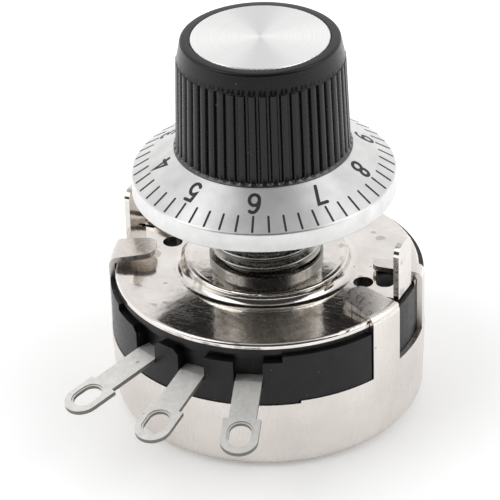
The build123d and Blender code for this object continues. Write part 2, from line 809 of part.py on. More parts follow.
with BuildPart() as dial_backing:
    with BuildSketch(Plane.XZ):
        with BuildLine():
            Polyline(
                (dial_hub_radius, backing_top - backing_sheet),
                (dial_hub_radius, backing_top),
                (backing_cone_start, backing_top),
                (backing_radius, backing_shoulder),
                (backing_radius, backing_bottom),
                (backing_radius - backing_rim_width, backing_bottom),
                (backing_cone_start - backing_rim_width, backing_top - backing_sheet),
                close=True,
            )
        make_face()
    revolve(axis=Axis.Z)
finish(dial_backing, "dial_backing")
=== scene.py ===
"""Looks for a panel-mounting potentiometer with a ribbed knob and a numbered dial.

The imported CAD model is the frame. +Z runs up the shaft, and the solder terminals point
towards -Y. Blender works in metres; sizes here are in millimetres, turned into metres by MM.
"""

from math import cos, hypot, pi, radians, sin, tau

import bmesh
import bpy
from mathutils import Matrix, Vector


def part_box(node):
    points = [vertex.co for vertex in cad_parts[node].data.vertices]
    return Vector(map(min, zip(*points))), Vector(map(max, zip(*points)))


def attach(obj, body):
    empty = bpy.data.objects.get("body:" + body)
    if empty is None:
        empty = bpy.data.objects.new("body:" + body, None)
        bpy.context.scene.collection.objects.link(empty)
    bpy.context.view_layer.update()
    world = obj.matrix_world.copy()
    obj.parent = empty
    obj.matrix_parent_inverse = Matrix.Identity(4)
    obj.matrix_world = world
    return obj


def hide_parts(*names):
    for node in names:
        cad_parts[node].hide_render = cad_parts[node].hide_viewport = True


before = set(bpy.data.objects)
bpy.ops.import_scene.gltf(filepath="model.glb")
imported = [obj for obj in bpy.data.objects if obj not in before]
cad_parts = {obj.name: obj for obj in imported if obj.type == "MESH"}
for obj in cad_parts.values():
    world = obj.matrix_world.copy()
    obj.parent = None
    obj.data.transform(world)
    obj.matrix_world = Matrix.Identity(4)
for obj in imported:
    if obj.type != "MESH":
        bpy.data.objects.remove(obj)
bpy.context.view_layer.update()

MM = 0.001
UP = Vector((0, 0, 1))


def box_mm(node):
    """Lowest and highest corners of a CAD node, in millimetres."""
    low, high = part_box(node)
    return low / MM, high / MM


def polar(radius, angle, height):
    """Point about the shaft at a radius, an angle in radians and a height."""
    return Vector((radius * cos(angle), radius * sin(angle), height))


# ---------------------------------------------------------------- sizes read from the frame
knob_low, knob_high = box_mm("knob_body")
insert_high = box_mm("knob_insert")[1]
cap_low, cap_high = box_mm("knob_cap_disc")
dial_high = box_mm("dial_plate")[1]
bushing_low, bushing_high = box_mm("bushing")
plate_high = box_mm("front_plate")[1]
screw_low, screw_high = box_mm("set_screw")

dial_zero = radians(73.2)  # where the dial's zero stands at rest


# ---------------------------------------------------------------- meshes
def add_piece(name, vertices, faces, body, slot, sharp=35):
    """Closed mesh from points in millimetres, smooth apart from its sharp edges, riding on a body."""
    mesh = bpy.data.meshes.new(name)
    mesh.from_pydata([Vector(vertex) * MM for vertex in vertices], [], faces)
    shape = bmesh.new()
    shape.from_mesh(mesh)
    bmesh.ops.remove_doubles(shape, verts=shape.verts, dist=0.0005 * MM)
    bmesh.ops.dissolve_degenerate(shape, edges=shape.edges, dist=0.0001 * MM)
    bmesh.ops.recalc_face_normals(shape, faces=shape.faces)
    shape.to_mesh(mesh)
    shape.free()
    mesh.shade_smooth()
    mesh.set_sharp_from_angle(angle=radians(sharp))
    piece = bpy.data.objects.new(name, mesh)
    bpy.context.scene.collection.objects.link(piece)
    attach(piece, body)
    return piece


def ring_of_rows(rows):
    """Faces between rows of points that run round the shaft; the last row joins the first."""
    columns = len(rows[0])
    vertices = [point for row in rows for point in row]
    faces = []
    for low_row in range(len(rows)):
        high_row = (low_row + 1) % len(rows)
        for column in range(columns):
            following = (column + 1) % columns
            faces.append(
                (
                    low_row * columns + column,
                    low_row * columns + following,
                    high_row * columns + following,
                    high_row * columns + column,
                )
            )
    return vertices, faces


def cut_away(piece, cutter):
    """Subtract one object's shape from a piece and delete the cutter."""
    cut = piece.modifiers.new("cut", "BOOLEAN")
    cut.operation = "DIFFERENCE"
    cut.solver = "EXACT"
    cut.object = cutter
    graph = bpy.context.evaluated_depsgraph_get()
    mesh = bpy.data.meshes.new_from_object(piece.evaluated_get(graph))
    piece.modifiers.remove(cut)
    piece.data = mesh
    bpy.data.objects.remove(cutter)


# ---------------------------------------------------------------- ribbed knob
rib_count = 50
# Points round one rib, as shares of the pitch from its middle. Its crest ends at the third, and
# the groove's flat floor starts at the fourth.
rib_places = (0, 0.15, 0.28, 0.41, 0.5, 0.59, 0.72, 0.85)
crest_fall = 0.14  # how far a rib's top falls to its edges, as a share of the groove's depth
groove_depth = 0.3
rib_foot_radius = 7.76
rib_head_radius = 7.45
rib_foot = knob_low.z + 1.78
rib_top = knob_low.z + 10.1
collar_foot_radius = 7.36
rim_radius = 7.04
rim_round = 0.25
rim_steps = 4
spigot_radius = 6.38
flange_top = knob_low.z + 1.7
flange_seat = knob_low.z + 1.45
rib_rows = 9
rib_round = 0.35  # height over which a rib's top rounds off into the collar
insert_gap = 0.02
cap_gap = 0.05
edge_break = 0.06  # small chamfer on moulded and turned edges
screw_hole_gap = 0.1
hole_cutter_middle = 6.6  # from the shaft's axis
hole_cutter_length = 5


def groove_share(place):
    """How deep the groove is at a place round one rib, from 0 on its crest to 1 in the groove."""
    across = min(place, 1 - place)
    crest_end = rib_places[2]
    if across <= crest_end:
        return crest_fall * (across / crest_end) ** 2
    return 1


def knob_rows():
    """Rows of the knob from its bore, over the ribs and the rim, and back into the bore.

    Each step of the profile is a radius, a height and the share of the grooves' depth cut there.
    """
    bore = insert_high.x + insert_gap
    flange_radius = knob_high.x
    profile = [
        (bore, knob_low.z, 0),
        (spigot_radius, knob_low.z, 0),
        (spigot_radius, flange_seat, 0),
        (flange_radius - 0.04, flange_seat, 0),
        (flange_radius, flange_seat + 0.05, 0),
        (flange_radius, flange_top - 0.16, 0),
        (flange_radius - 0.05, flange_top - 0.1, 0),
        (rib_foot_radius + 0.04, flange_top + 0.03, 0.85),
    ]
    for row in range(rib_rows + 1):
        share = row / rib_rows
        radius = rib_foot_radius + (rib_head_radius - rib_foot_radius) * share
        profile.append((radius, rib_foot + (rib_top - rib_round - rib_foot) * share, 1))
    profile += [
        (rib_head_radius - 0.005, rib_top - 0.16, 0.95),
        (rib_head_radius - 0.02, rib_top - 0.07, 0.6),
        (rib_head_radius - 0.06, rib_top - 0.02, 0.25),
        (collar_foot_radius, rib_top, 0),
    ]
    rim_foot = knob_high.z - rim_round
    for share in (0.33, 0.67, 1.0):
        radius = collar_foot_radius + (rim_radius - collar_foot_radius) * share
        profile.append((radius, rib_top + (rim_foot - rib_top) * share, 0))
    for step in range(1, rim_steps + 1):
        angle = pi / 2 * step / rim_steps
        radius = rim_radius - rim_round * (1 - cos(angle))
        profile.append((radius, rim_foot + rim_round * sin(angle), 0))
    seat = cap_low.z
    recess = cap_high.x + cap_gap
    bore_top = insert_high.z + insert_gap
    profile += [
        (recess + edge_break, knob_high.z, 0),
        (recess, knob_high.z - edge_break, 0),
        (recess, seat, 0),
        (0, seat, 0),
        (0, bore_top, 0),
        (bore, bore_top, 0),
    ]
    rows = []
    for radius, height, groove in profile:
        row = []
        for rib in range(rib_count):
            for place in rib_places:
                cut = groove * groove_depth * groove_share(place)
                row.append(polar(radius - cut, tau * (rib + place) / rib_count, height))
        rows.append(row)
    return rows


def make_knob():
    """Moulded knob with the hole for its set screw."""
    knob = add_piece("knob_ribbed", *ring_of_rows(knob_rows()), "rotor", "knob_black", sharp=38)
    height = (screw_low.z + screw_high.z) / 2
    hole_radius = (screw_high.z - screw_low.z) / 2 + screw_hole_gap
    mesh = bpy.data.meshes.new("cutter")
    shape = bmesh.new()
    bmesh.ops.create_cone(
        shape,
        cap_ends=True,
        segments=40,
        radius1=hole_radius * MM,
        radius2=hole_radius * MM,
        depth=hole_cutter_length * MM,
    )
    shape.to_mesh(mesh)
    shape.free()
    cutter = bpy.data.objects.new("cutter", mesh)
    bpy.context.scene.collection.objects.link(cutter)
    cutter.matrix_world = (
        Matrix.Translation(polar(hole_cutter_middle, dial_zero, height) * MM)
        @ polar(1, dial_zero, 0).to_track_quat("Z", "Y").to_matrix().to_4x4()
    )
    bpy.context.view_layer.update()
    cut_away(knob, cutter)
    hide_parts("knob_body")


# ---------------------------------------------------------------- threaded bushing
thread_pitch = 1.0
thread_radius = 4.95
thread_depth = 0.55
thread_columns = 128
stake_top = bushing_low.z + 2.1
collar_radius = 5.15
collar_bottom = bushing_low.z + 2.6
collar_top = bushing_low.z + 3.15
thread_bottom = collar_top + 0.1
bore_radius = 3.04
bushing_foot_radius = 4.6
neck_radius = collar_radius - 0.17
stake_height = 0.6
lead_in = 0.5  # chamfer at the thread's top
run_out_slope = 4  # how steeply the thread grows out of the undercut
# (place along one pitch, share of the thread's depth) round one turn, from crest to crest
thread_form = [(0.0, 0.0), (0.06, 0.02), (0.1, 0.1), (0.36, 0.9), (0.42, 0.98)]
thread_form += [(0.5, 1.0), (0.58, 0.98), (0.64, 0.9), (0.9, 0.1), (0.94, 0.02)]


def level_ring(radius, height):
    """One row of the bushing that doesn't climb."""
    return [polar(radius, tau * column / thread_columns, height) for column in range(thread_columns)]


def bushing_rows():
    """Rows of the bushing, and the first and last of those that climb by one pitch in a turn."""
    undercut_radius = thread_radius - thread_depth - 0.05
    stake_bottom = stake_top - stake_height
    top = bushing_high.z
    lead_radius = thread_radius - lead_in
    below = [
        (bore_radius, bushing_low.z),
        (bushing_foot_radius, bushing_low.z),
        (bushing_foot_radius, stake_bottom),
        (bushing_high.x, stake_bottom),
        (bushing_high.x, stake_top),
        (neck_radius, stake_top),
        (neck_radius, collar_bottom),
        (collar_radius, collar_bottom),
        (collar_radius, collar_top - edge_break),
        (collar_radius - edge_break, collar_top),
        (undercut_radius, collar_top),
        (undercut_radius, thread_bottom),
    ]
    rows = [level_ring(radius, height) for radius, height in below]
    first = len(rows)
    turns = int((top - thread_bottom) / thread_pitch) + 2
    for turn in range(turns):
        for place, depth in thread_form:
            row = []
            for column in range(thread_columns):
                share = column / thread_columns
                climb = thread_pitch * (turn + place + share - 1)
                height = min(max(thread_bottom + climb, thread_bottom), top)
                thread = thread_radius - thread_depth * depth
                run_out = undercut_radius + run_out_slope * (height - thread_bottom)
                radius = min(thread, run_out, lead_radius + top - height)
                row.append(polar(radius, tau * share, height))
            rows.append(row)
    last = len(rows) - 1
    rows.append(level_ring(lead_radius, top))
    rows.append(level_ring(bore_radius, top))
    return rows, first, last


def helical_faces(rows, first, last):
    """As ring_of_rows, but rows from first to last join one turn higher where the circle closes."""
    columns = len(rows[0])
    step = len(thread_form)
    vertices = [point for row in rows for point in row]
    faces = []
    for low_row in range(len(rows)):
        high_row = (low_row + 1) % len(rows)
        for column in range(columns):
            following = column + 1
            low_next, high_next = low_row, high_row
            if following == columns:
                following = 0
                if first <= low_row:
                    low_next = min(low_row + step, last) if low_row <= last else low_row
                if first <= high_row:
                    high_next = min(high_row + step, last) if high_row <= last else high_row
            face = (
                low_row * columns + column,
                low_next * columns + following,
                high_next * columns + following,
                high_row * columns + column,
            )
            faces.append(tuple(dict.fromkeys(face)))
    return vertices, [face for face in faces if len(face) > 2]


def make_bushing():
    """Turned bushing with its screw thread."""
    vertices, faces = helical_faces(*bushing_rows())
    bushing = add_piece("bushing_threaded", vertices, faces, "housing", "nickel_brass", sharp=40)
    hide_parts("bushing")


# ---------------------------------------------------------------- dial marks
cone_top_radius = 7.96
cone_top = dial_high.z
cone_foot_radius = dial_high.x - 0.06
cone_foot = dial_high.z - 2.39
cone_length = hypot(cone_foot_radius - cone_top_radius, cone_top - cone_foot)
cone_out = (cone_foot_radius - cone_top_radius) / cone_length
cone_down = (cone_top - cone_foot) / cone_length
paint_height = 0.012
paint_root = 0.05  # the paint fills its engraving to this depth
stroke_lift = 0.002  # each further stroke of a digit lies this much above the one before
tick_count = 50
tick_width = 0.2
tick_start = 2.75  # from the cone's top edge, down the slope
tick_end = 4.2
digit_height = 1.72  # along the stroke's middle
digit_width = 0.86
digit_stroke = 0.31
digit_foot = 0.62  # from the cone's top edge to the foot of a digit's stroke


def on_cone(angle, across, along, proud):
    """Point on the dial's cone: across it, down its slope from the top edge, and proud of it."""
    radius = cone_top_radius + along * cone_out
    turn = angle + across / radius
    return polar(radius + proud * cone_down, turn, cone_top - along * cone_down + proud * cone_out)


def arc(centre, size, start, end, steps=14):
    """Points along part of an ellipse, with angles in degrees."""
    turns = [radians(start + (end - start) * step / steps) for step in range(steps + 1)]
    return [(centre[0] + size[0] * cos(turn), centre[1] + size[1] * sin(turn)) for turn in turns]


def ellipse(centre, size):
    """Points round a whole ellipse, without repeating the first."""
    return arc(centre, size, 0, 360, 32)[:-1]


# Each digit stands in a box one wide and one high: open strokes, then closed ones.
six_bowl = ellipse((0, 0.3), (0.5, 0.3))
six_tail = arc((0.12, 0.42), (0.62, 0.58), 62, 185, 16)
three_top = arc((-0.02, 0.755), (0.42, 0.245), 155, -90, 18)
three_bowl = arc((-0.02, 0.255), (0.48, 0.255), 90, -155, 18)
digit_strokes = {
    0: ([], [ellipse((0, 0.5), (0.47, 0.5))]),
    1: ([[(-0.22, 0.78), (0.08, 1), (0.08, 0)]], []),
    2: ([arc((0, 0.7), (0.46, 0.3), 165, -40) + [(-0.46, 0), (0.48, 0)]], []),
    3: ([three_top + three_bowl[1:]], []),
    4: ([[(0.5, 0.27), (-0.5, 0.27), (0.2, 1), (0.2, 0)]], []),
    5: ([[(0.42, 1), (-0.3, 1), (-0.38, 0.53)] + arc((0, 0.32), (0.48, 0.32), 135, -145, 20)], []),
    6: ([six_tail], [six_bowl]),
    7: ([[(-0.5, 1), (0.48, 1), (-0.12, 0)]], []),
    8: ([], [ellipse((0, 0.755), (0.4, 0.245)), ellipse((0, 0.265), (0.49, 0.265))]),
    9: ([[(-x, 1 - y) for x, y in six_tail]], [[(-x, 1 - y) for x, y in six_bowl]]),
}


def stroke_outline(points, closed, width):
    """Left and right sides of a stroke of even width, with mitred corners."""
    count = len(points)
    left, right = [], []
    for index, point in enumerate(points):
        here = Vector(point)
        before = Vector(points[index - 1]) if closed or index else None
        after = Vector(points[(index + 1) % count]) if closed or index < count - 1 else None
        into = (here - before).normalized() if before is not None else (after - here).normalized()
        out = (after - here).normalized() if after is not None else into
        normal = Vector((-into.y - out.y, into.x + out.x)).normalized()
        reach = width / 2 / max(normal.dot(Vector((-into.y, into.x))), 0.45)
        left.append(here + normal * reach)
        right.append(here - normal * reach)
    return left, right


def add_ribbon(vertices, faces, left, right, closed, lift, place):
    """Solid strip between two sides, placed on the dial by a function of across, along and proud."""
    first = len(vertices)
    count = len(left)
    for side in (left, right):
        for point in side:
            vertices.append(place(point, paint_height + lift))
    for side in (left, right):
        for point in side:
            vertices.append(place(point, -paint_root))
    top_left, top_right = first, first + count
    low_left, low_right = first + 2 * count, first + 3 * count
    spans = range(count if closed else count - 1)
    for index in spans:
        after = (index + 1) % count
        faces.append((top_left + index, top_left + after, top_right + after, top_right + index))
        faces.append((low_left + index, low_right + index, low_right + after, low_left + after))
        faces.append((top_left + index, low_left + index, low_left + after, top_left + after))
        faces.append((top_right + index, top_right + after, low_right + after, low_right + index))
    if not closed:
        for end in (0, count - 1):
            faces.append((top_left + end, top_right + end, low_right + end, low_left + end))


def rounded_sides(points, width):
    """Sides of an open stroke that narrow to a round end at both tips."""
    left, right = stroke_outline(points, False, width)
    tip_start, tip_end = Vector(points[0]), Vector(points[-1])
    ahead = (Vector(points[-1]) - Vector(points[-2])).normalized()
    behind = (Vector(points[0]) - Vector(points[1])).normalized()
    steps = 4
    head_left, head_right, tail_left, tail_right = [], [], [], []
    for step in range(1, steps + 1):
        turn = pi / 2 * step / steps
        reach, half = width / 2 * sin(turn), max(width / 2 * cos(turn), 0.002)
        side_ahead = Vector((-ahead.y, ahead.x))
        side_behind = Vector((behind.y, -behind.x))
        head_left.append(tip_end + ahead * reach + side_ahead * half)
        head_right.append(tip_end + ahead * reach - side_ahead * half)
        tail_left.insert(0, tip_start + behind * reach + side_behind * half)
        tail_right.insert(0, tip_start + behind * reach - side_behind * half)
    return tail_left + left + head_left, tail_right + right + head_right


def make_digits():
    """Ten painted digits, their tops towards the dial's edge."""
    vertices, faces = [], []
    for digit, (open_strokes, loops) in digit_strokes.items():
        angle = dial_zero + tau * digit / 10

        def place(point, proud, angle=angle):
            return on_cone(angle, -point.x, digit_foot + point.y, proud)

        lift = 0
        strokes = [(stroke, False) for stroke in open_strokes]
        strokes += [(loop, True) for loop in loops]
        for points, closed in strokes:
            sized = [(x * digit_width, y * digit_height) for x, y in points]
            if closed:
                sides = stroke_outline(sized, True, digit_stroke)
            else:
                sides = rounded_sides(sized, digit_stroke)
            add_ribbon(vertices, faces, *sides, closed, lift, place)
            lift += stroke_lift
    add_piece("dial_digits", vertices, faces, "rotor", "knob_black", sharp=50)


def make_ticks():
    """Fifty painted lines round the dial's lower edge."""
    vertices, faces = [], []
    for tick in range(tick_count):
        angle = dial_zero + tau * tick / tick_count

        def place(point, proud, angle=angle):
            return on_cone(angle, point.x, point.y, proud)

        line = [(0, tick_start), (0, (tick_start + tick_end) / 2), (0, tick_end)]
        sides = rounded_sides(line, tick_width)
        add_ribbon(vertices, faces, *sides, False, 0, place)
    add_piece("dial_ticks", vertices, faces, "rotor", "knob_black", sharp=50)


make_knob()
make_bushing()
make_digits()
make_ticks()


# ---------------------------------------------------------------- materials
class Surface:
    """One material: the shader, and short names for the nodes that feed it."""

    def __init__(self, name, **sockets):
        self.material = bpy.data.materials.new(name)
        self.material.use_nodes = True
        self.tree = self.material.node_tree
        self.shader = self.tree.nodes["Principled BSDF"]
        self.normal = None
        for socket, value in sockets.items():
            self.shader.inputs[socket.replace("_", " ")].default_value = value

    def node(self, kind, **settings):
        made = self.tree.nodes.new(kind)
        for setting, value in settings.items():
            setattr(made, setting, value)
        return made

    def feed(self, socket, value):
        if isinstance(value, bpy.types.NodeSocket):
            self.tree.links.new(value, socket)
        else:
            socket.default_value = value

    def place(self, scale=(1, 1, 1)):
        """Position in millimetres, stretched along each axis."""
        coordinates = self.node("ShaderNodeTexCoord")
        mapping = self.node("ShaderNodeMapping")
        self.feed(mapping.inputs["Vector"], coordinates.outputs["Object"])
        mapping.inputs["Scale"].default_value = [part / MM for part in scale]
        return mapping.outputs["Vector"]

    def distance_from_shaft(self):
        """Distance from the shaft's axis in millimetres."""
        length = self.node("ShaderNodeVectorMath", operation="LENGTH")
        self.feed(length.inputs[0], self.place((1, 1, 0)))
        return length.outputs["Value"]

    def height(self):
        """Height above the can's rear face in millimetres."""
        split = self.node("ShaderNodeSeparateXYZ")
        self.feed(split.inputs[0], self.place())
        return split.outputs["Z"]

    def facing_up(self):
        """How far a face looks up or down, from 0 on an upright face to 1 on a level one."""
        geometry = self.node("ShaderNodeNewGeometry")
        split = self.node("ShaderNodeSeparateXYZ")
        self.feed(split.inputs[0], geometry.outputs["True Normal"])
        size = self.node("ShaderNodeMath", operation="ABSOLUTE")
        self.feed(size.inputs[0], split.outputs["Z"])
        return size.outputs["Value"]

    def noise(self, place, scale, detail=3, roughness=0.5, distortion=0.0):
        made = self.node("ShaderNodeTexNoise")
        self.feed(made.inputs["Vector"], place)
        made.inputs["Scale"].default_value = scale
        made.inputs["Detail"].default_value = detail
        made.inputs["Roughness"].default_value = roughness
        made.inputs["Distortion"].default_value = distortion
        return made.outputs["Fac"]

    def rings(self, scale, detail=2):
        """Fine uneven rings about the shaft."""
        made = self.node("ShaderNodeTexNoise", noise_dimensions="1D")
        self.feed(made.inputs["W"], self.distance_from_shaft())
        made.inputs["Scale"].default_value = scale
        made.inputs["Detail"].default_value = detail
        return made.outputs["Fac"]

    def spread(self, value, low, high, start=0.35, end=0.65):
        """A number that runs from low to high as a noise value runs from start to end."""
        made = self.node("ShaderNodeMapRange")
        self.feed(made.inputs["Value"], value)
        numbers = {"From Min": start, "From Max": end, "To Min": low, "To Max": high}
        for socket, number in numbers.items():
            made.inputs[socket].default_value = number
        return made.outputs["Result"]

    def ramp(self, value, *stops):
        """A colour from (position, colour) stops."""
        made = self.node("ShaderNodeValToRGB")
        elements = made.color_ramp.elements
        while len(elements) < len(stops):
            elements.new(0.5)
        for element, (position, colour) in zip(elements, stops):
            element.position = position
            element.color = (*colour, 1)
        self.feed(made.inputs["Fac"], value)
        return made.outputs["Color"]

    def mix(self, share, first, second):
        """Two colours mixed."""
        made = self.node("ShaderNodeMix", data_type="RGBA")
        self.feed(made.inputs["Factor"], share)
        for socket, value in ((made.inputs[6], first), (made.inputs[7], second)):
            if isinstance(value, bpy.types.NodeSocket):
                self.feed(socket, value)
            else:
                socket.default_value = (*value, 1)
        return made.outputs[2]

    def specked(self, colour, scale, threshold, spot):
        """A colour with scattered specks of another; a higher threshold leaves fewer."""
        speck = self.noise(self.place(), scale, detail=1)
        return self.mix(self.spread(speck, 0, 1, threshold, threshold + 0.04), colour, spot)

    def bump(self, height, depth):
        """Add relief of a depth in millimetres to the shader's normal."""
        made = self.node("ShaderNodeBump")
        made.inputs["Strength"].default_value = 1.0
        made.inputs["Distance"].default_value = depth * MM
        self.feed(made.inputs["Height"], height)
        if self.normal is not None:
            self.feed(made.inputs["Normal"], self.normal)
        self.normal = made.outputs["Normal"]
        self.feed(self.shader.inputs["Normal"], self.normal)

    def round_the_shaft(self):
        """Lay the shader's grain round the shaft."""
        tangent = self.node("ShaderNodeTangent", direction_type="RADIAL", axis="Z")
        self.feed(self.shader.inputs["Tangent"], tangent.outputs["Tangent"])

    def colour(self, value):
        self.feed(self.shader.inputs["Base Color"], value)

    def rough(self, value):
        self.feed(self.shader.inputs["Roughness"], value)


def can_nickel():
    """Drawn and plated steel of the can: soft gloss with faint drawing lines."""
    surface = Surface("can_nickel", Metallic=1.0)
    cloud = surface.noise(surface.place(), 0.22, detail=4)
    streak = surface.noise(surface.place((1, 1, 0.05)), 2.4, detail=3)
    clean = surface.ramp(cloud, (0.3, (0.70, 0.655, 0.62)), (0.7, (0.78, 0.74, 0.705)))
    surface.colour(surface.specked(clean, 1.3, 0.78, (0.34, 0.31, 0.29)))
    surface.rough(surface.spread(streak, 0.24, 0.36))
    surface.bump(streak, 0.003)
    surface.bump(surface.noise(surface.place(), 9, detail=3), 0.0015)
    return surface.material


def plate_nickel():
    """Bright plated sheet of the front plate: glossy, with fine scratches and small dents."""
    surface = Surface("plate_nickel", Metallic=1.0)
    cloud = surface.noise(surface.place(), 0.35, detail=5, roughness=0.6)
    grain = surface.noise(surface.place(), 7, detail=4)
    scratch = surface.noise(surface.place((0.25, 4.5, 0.25)), 3.0, detail=2, distortion=0.6)
    clean = surface.ramp(cloud, (0.3, (0.69, 0.65, 0.61)), (0.68, (0.81, 0.775, 0.74)))
    stained = surface.specked(clean, 0.55, 0.66, (0.52, 0.48, 0.44))
    surface.colour(surface.specked(stained, 2.3, 0.765, (0.24, 0.21, 0.19)))
    surface.rough(surface.spread(grain, 0.06, 0.17))
    surface.bump(surface.spread(scratch, 0, 1, 0.62, 0.7), 0.0012)
    surface.bump(grain, 0.0015)
    surface.bump(surface.noise(surface.place(), 1.1, detail=2), 0.012)
    return surface.material


def bushing_nickel():
    """Turned and plated brass, duller than the sheet, with painted shade in the thread roots and from
    the collar down.
    """
    surface = Surface("bushing_nickel", Metallic=1.0)
    cloud = surface.noise(surface.place(), 0.9, detail=4)
    crest = surface.ramp(cloud, (0.3, (0.46, 0.45, 0.42)), (0.7, (0.62, 0.61, 0.58)))
    root = thread_radius - thread_depth
    shade_ends_at = thread_radius - 0.12  # no painted shade outside this radius
    # Painted shade: the thread roots darken towards the root radius.
    root_shade = surface.spread(surface.distance_from_shaft(), 0.9, 0, root, shade_ends_at)
    thread = surface.mix(root_shade, crest, (0.09, 0.08, 0.07))
    # Painted shade: the collar and everything below it are darkened.
    collar_shade = surface.spread(surface.height(), 0.75, 0, collar_top - 0.1, collar_top + 0.4)
    surface.colour(surface.mix(collar_shade, thread, (0.16, 0.15, 0.14)))
    surface.rough(surface.spread(surface.noise(surface.place(), 3.0), 0.18, 0.32))
    surface.bump(surface.noise(surface.place((0.4, 0.4, 6)), 1.6, detail=2), 0.0015)
    return surface.material


def phenolic_black():
    """Moulded black phenolic: satin, with an uneven skin and pale specks of filler."""
    surface = Surface("phenolic_black", Specular_IOR_Level=0.3)
    cloud = surface.noise(surface.place(), 0.8, detail=4)
    skin = surface.noise(surface.place(), 5.5, detail=4, roughness=0.6)
    clean = surface.ramp(cloud, (0.3, (0.005, 0.0045, 0.005)), (0.7, (0.010, 0.0095, 0.010)))
    surface.colour(surface.specked(clean, 3.0, 0.77, (0.11, 0.10, 0.095)))
    surface.rough(surface.spread(skin, 0.30, 0.46))
    surface.bump(skin, 0.008)
    return surface.material


def tinned():
    """Dull tin on the terminals, mottled and scuffed, with painted shade on upright faces such as the
    cut edges.
    """
    surface = Surface("tinned", Metallic=0.75)
    cloud = surface.noise(surface.place(), 1.6, detail=5, roughness=0.65)
    speck = surface.noise(surface.place(), 12, detail=2)
    clean = surface.ramp(cloud, (0.3, (0.80, 0.79, 0.76)), (0.7, (0.95, 0.94, 0.91)))
    face = surface.specked(clean, 1.1, 0.74, (0.55, 0.53, 0.50))
    # Painted shade: upright faces, the cut edges and hole walls, are darkened.
    upright_face_shade = surface.spread(surface.facing_up(), 1, 0, 0.3, 0.6)
    surface.colour(surface.mix(upright_face_shade, face, (0.20, 0.19, 0.17)))
    surface.rough(surface.spread(speck, 0.44, 0.62))
    surface.bump(cloud, 0.02)
    surface.bump(speck, 0.004)
    return surface.material


def knob_plastic():
    """Moulded black knob, satin, with a few pale specks of dust."""
    surface = Surface("knob_plastic")
    skin = surface.noise(surface.place(), 6.0, detail=4)
    speck = surface.noise(surface.place(), 2.6, detail=0)
    surface.colour(surface.ramp(speck, (0.82, (0.006, 0.0055, 0.0065)), (0.9, (0.08, 0.08, 0.08))))
    flange = surface.spread(surface.height(), 1, 0, flange_top + 0.02, flange_top + 0.1)
    gloss = surface.spread(flange, 0.3, 1.0, 0, 1)
    surface.feed(surface.shader.inputs["Specular IOR Level"], gloss)
    surface.rough(surface.spread(skin, 0.22, 0.34))
    surface.bump(skin, 0.004)
    return surface.material


def dial_backing_black():
    """Dull black on the piece behind the dial, which keeps the dial's underside dark."""
    surface = Surface("dial_backing_black", Specular_IOR_Level=0.25)
    skin = surface.noise(surface.place(), 4.0, detail=4)
    surface.colour(surface.ramp(skin, (0.3, (0.006, 0.005, 0.005)), (0.7, (0.012, 0.010, 0.010))))
    surface.rough(surface.spread(skin, 0.45, 0.6))
    surface.bump(skin, 0.006)
    return surface.material


def spun_aluminium():
    """Facing cuts round the cap disc spread its highlights into a bow tie."""
    surface = Surface("spun_aluminium", Metallic=1.0, Anisotropic=0.9, Anisotropic_Rotation=0.25)
    rings = surface.rings(9)
    surface.colour(surface.ramp(rings, (0.3, (0.81, 0.805, 0.80)), (0.7, (0.93, 0.925, 0.92))))
    surface.rough(surface.spread(rings, 0.28, 0.38))
    surface.bump(surface.rings(26), 0.002)
    surface.round_the_shaft()
    return surface.material


def dial_aluminium():
    """Satin turned aluminium of the dial."""
    surface = Surface("dial_aluminium", Metallic=1.0, Anisotropic=0.6, Anisotropic_Rotation=0.25)
    cloud = surface.noise(surface.place(), 0.6, detail=4)
    rings = surface.rings(9)
    surface.colour(surface.ramp(cloud, (0.3, (0.63, 0.63, 0.625)), (0.7, (0.74, 0.74, 0.735))))
    surface.rough(surface.spread(rings, 0.32, 0.42))
    surface.bump(rings, 0.0015)
    surface.bump(surface.noise(surface.place(), 8, detail=3), 0.002)
    surface.round_the_shaft()
    return surface.material


def dial_paint():
    """Black filling paint of the dial's marks."""
    surface = Surface("dial_paint")
    skin = surface.noise(surface.place(), 7, detail=3)
    surface.colour(surface.ramp(skin, (0.35, (0.010, 0.010, 0.010)), (0.7, (0.03, 0.03, 0.03))))
    surface.rough(surface.spread(skin, 0.4, 0.6))
    surface.bump(skin, 0.004)
    return surface.material


def plain_metal(name, dark, light, low, high):
    """Small inner metal pieces: cloudy colour and gloss with turning marks."""
    surface = Surface(name, Metallic=1.0)
    cloud = surface.noise(surface.place(), 1.2, detail=4)
    surface.colour(surface.ramp(cloud, (0.3, dark), (0.7, light)))
    surface.rough(surface.spread(surface.noise(surface.place(), 4, detail=3), low, high))
    surface.bump(surface.rings(8), 0.003)
    return surface.material


def inner_board(name, dark, light):
    """Fibre and laminate pieces inside the can."""
    surface = Surface(name)
    weave = surface.noise(surface.place((3, 0.6, 1)), 2.2, detail=4)
    surface.colour(surface.ramp(weave, (0.3, dark), (0.7, light)))
    surface.rough(surface.spread(surface.noise(surface.place(), 3), 0.5, 0.7))
    surface.bump(weave, 0.008)
    return surface.material


def dress(material, *names):
    """Give every material slot of these pieces one material."""
    for name in names:
        data = bpy.data.objects[name].data
        data.materials.clear()
        data.materials.append(material)


def dress_node(material, *names):
    """Give a CAD node's own slots a better material."""
    for name in names:
        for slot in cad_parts[name].material_slots:
            slot.material = material


